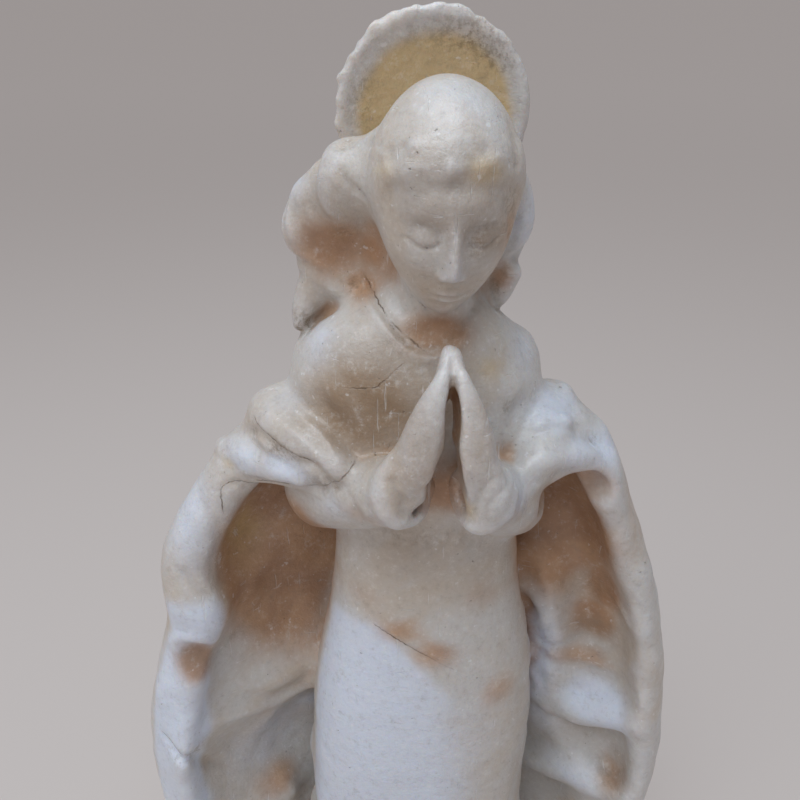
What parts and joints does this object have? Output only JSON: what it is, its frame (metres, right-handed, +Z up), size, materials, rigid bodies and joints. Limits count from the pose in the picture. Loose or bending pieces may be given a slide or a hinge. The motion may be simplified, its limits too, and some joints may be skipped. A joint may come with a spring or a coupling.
{
  "type": "virgin mary statue",
  "caption": "Praying Madonna carved in alabaster: bowed head, halo dish, long wavy hair, joined hands and a wide mantle open over a smooth dress, on a low oval base.",
  "frame": {"origin": "middle of the oval base, on its underside", "axes": "+Z up, the figure faces -Y, the viewer's left is -X"},
  "size_m": [0.2287, 0.116, 0.398],
  "materials": {
    "alabaster": "carved translucent alabaster, soft waxed gloss, honey-brown in the hollows"
  },
  "bodies": {
    "root": {"statue": "alabaster"}
  },
  "joints": []
}
